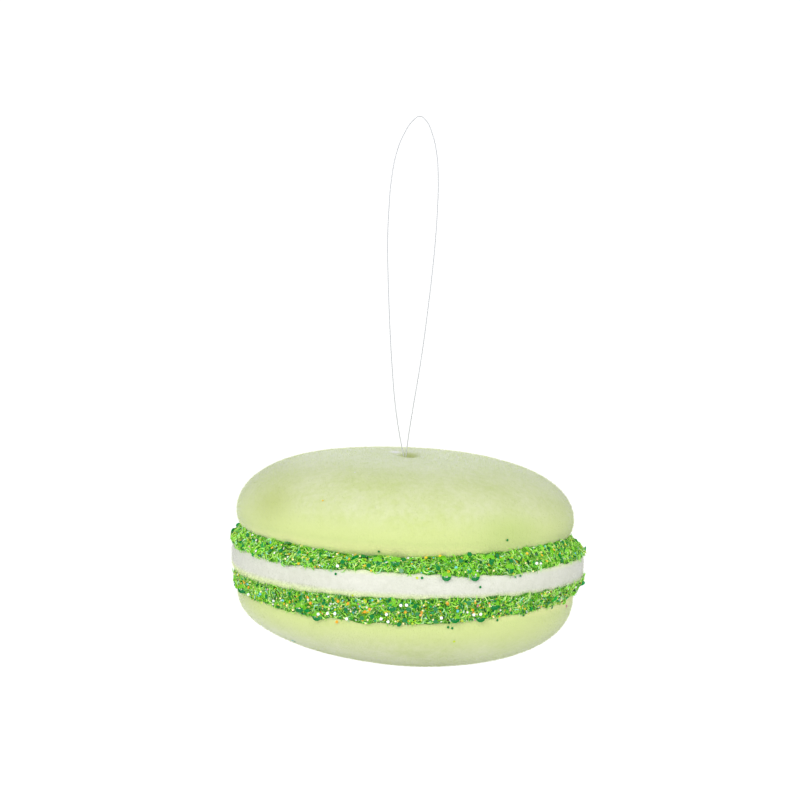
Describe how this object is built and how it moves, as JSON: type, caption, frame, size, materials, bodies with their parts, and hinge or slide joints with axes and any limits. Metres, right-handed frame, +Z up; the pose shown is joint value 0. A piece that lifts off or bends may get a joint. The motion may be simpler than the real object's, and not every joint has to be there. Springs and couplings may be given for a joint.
{
  "type": "macaron ornament",
  "caption": "Round hanging ornament in the form of a macaron: velvet-covered shells and filling, a band of green glitter in each crease, and a loop of clear nylon line on top.",
  "frame": {"origin": "middle of the ornament's base, in the plane of the small flat spot that it stands on", "axes": "+Z up through the stack, from the lower shell to the upper one; the loop of line lies in a plane parallel to XZ; -Y is the side that is usually seen"},
  "size_m": [0.1103, 0.1113, 0.1693],
  "materials": {
    "velvet": "short-pile velvet, pale yellow-green",
    "white_velvet": "short-pile velvet, warm white",
    "glitter": "glossy iridescent film shavings, cup sequins and hexagonal glitter, green",
    "nylon": "clear nylon monofilament"
  },
  "bodies": {
    "root": {"lower_shell": "velvet", "lower_glitter_trim": "glitter", "filling": "white_velvet", "upper_glitter_trim": "glitter", "upper_shell": "velvet", "hanging_loop": "nylon"}
  },
  "joints": []
}
